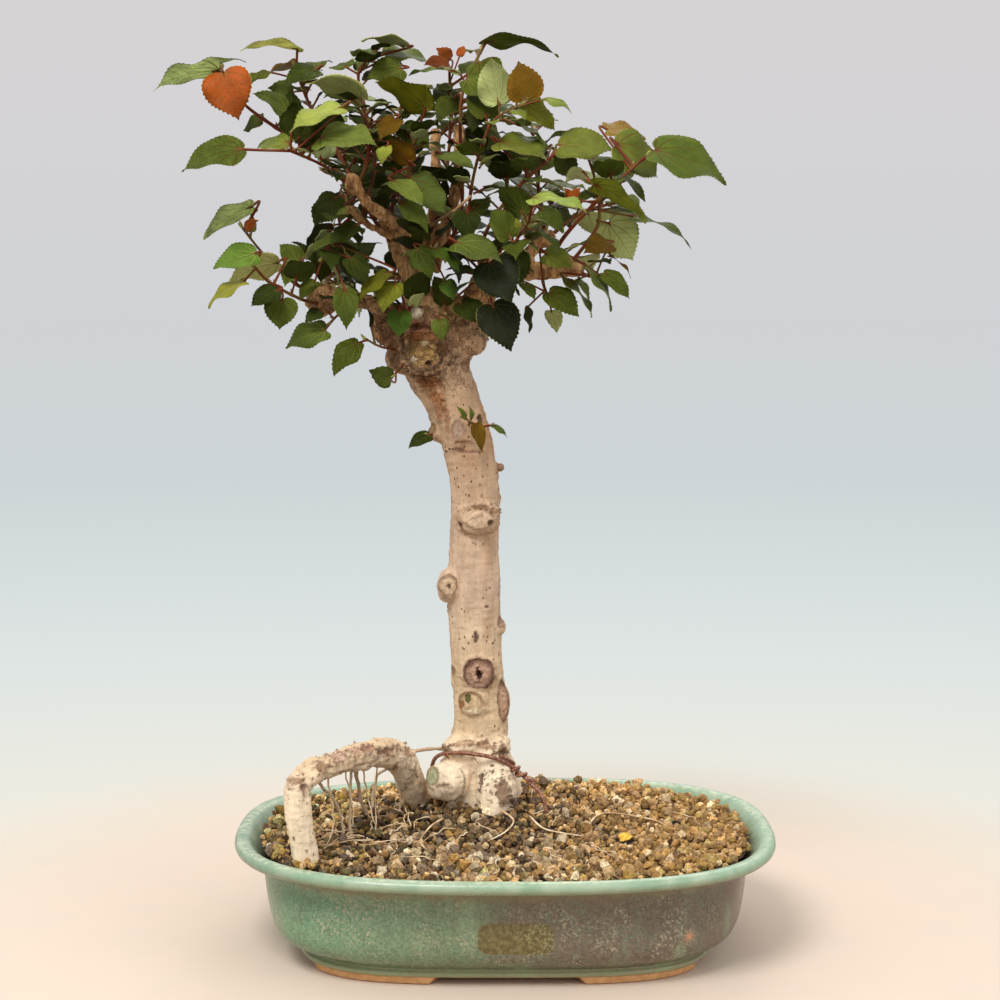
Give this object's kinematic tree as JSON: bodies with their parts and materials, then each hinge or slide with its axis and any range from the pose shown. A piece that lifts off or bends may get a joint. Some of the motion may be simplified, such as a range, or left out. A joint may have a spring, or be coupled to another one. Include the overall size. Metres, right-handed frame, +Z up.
{
  "type": "sea hibiscus bonsai",
  "caption": "Upright bonsai with a tall bare trunk, an arched surface root and a broad leafy crown, standing in a low oval glazed pot.",
  "frame": {"origin": "middle of the bounding box at the height of the feet's undersides", "axes": "+Z up along the trunk, +X along the pot's length to the viewer's right, -Y towards the viewer"},
  "size_m": [0.2926, 0.223, 0.4344],
  "materials": {
    "pot_glaze": "streaked teal and grey-green glaze, bare tan clay on the feet",
    "drain_mesh": "plain moulded mesh",
    "soil": "loose baked-clay and pumice grains",
    "bark": "pale smooth bark with dark pores and callused scars",
    "wire": "dull brown anodised wire",
    "leaf_yellow": "dry fallen leaf",
    "leaf_pale": "pale leaf underside",
    "leaf_mid": "satin leaf",
    "leaf_dark": "dark satin leaf",
    "leaf_light": "light green young leaf",
    "leaf_olive": "olive leaf",
    "leaf_bronze": "bronze young leaf",
    "leaf_orange": "orange ageing leaf"
  },
  "bodies": {
    "root": {"pot": "pot_glaze", "drain_mesh_left": "drain_mesh", "drain_mesh_right": "drain_mesh", "soil": "soil", "tree": "bark", "tie_wire": "wire", "fallen_leaf": "leaf_yellow", "shoot_far_left_top": "leaf_pale", "shoot_left_dark": "leaf_dark", "shoot_top_left": "leaf_mid", "shoot_top_mid_left": "leaf_olive", "shoot_top_mid": "leaf_mid", "shoot_olive_right": "leaf_olive", "shoot_orange_top": "leaf_orange", "shoot_top_right": "leaf_mid", "shoot_bronze": "leaf_bronze", "shoot_right_upper": "leaf_mid", "shoot_right_far": "leaf_light", "shoot_right_mid": "leaf_dark", "shoot_light_front": "leaf_light", "shoot_right_fan": "leaf_bronze", "shoot_right_low": "leaf_mid", "shoot_dark_hearts": "leaf_dark", "shoot_inner_front": "leaf_mid", "shoot_crown_left": "leaf_light", "shoot_crown_right": "leaf_mid", "shoot_crown_low": "leaf_dark", "shoot_left_far": "leaf_pale", "shoot_left_low": "leaf_light", "shoot_left_inner": "leaf_mid", "shoot_left_upper": "leaf_dark", "shoot_left_hanging": "leaf_mid", "shoot_low_hanging": "leaf_mid", "sprout_trunk_middle": "leaf_mid", "sprout_trunk_left": "leaf_dark", "sprout_trunk_right": "leaf_dark", "shoot_back_left_high": "leaf_mid", "shoot_back_left_side": "leaf_dark", "shoot_back_top": "leaf_mid", "shoot_back_far": "leaf_dark", "shoot_back_middle": "leaf_dark", "shoot_back_right_high": "leaf_mid", "shoot_back_right_side": "leaf_mid", "shoot_back_right_far": "leaf_dark", "shoot_back_right_low": "leaf_dark", "shoot_back_left_low": "leaf_dark", "shoot_back_low": "leaf_dark", "shoot_inner_high": "leaf_dark", "shoot_inner_left": "leaf_dark", "shoot_inner_right": "leaf_dark"}
  },
  "joints": []
}
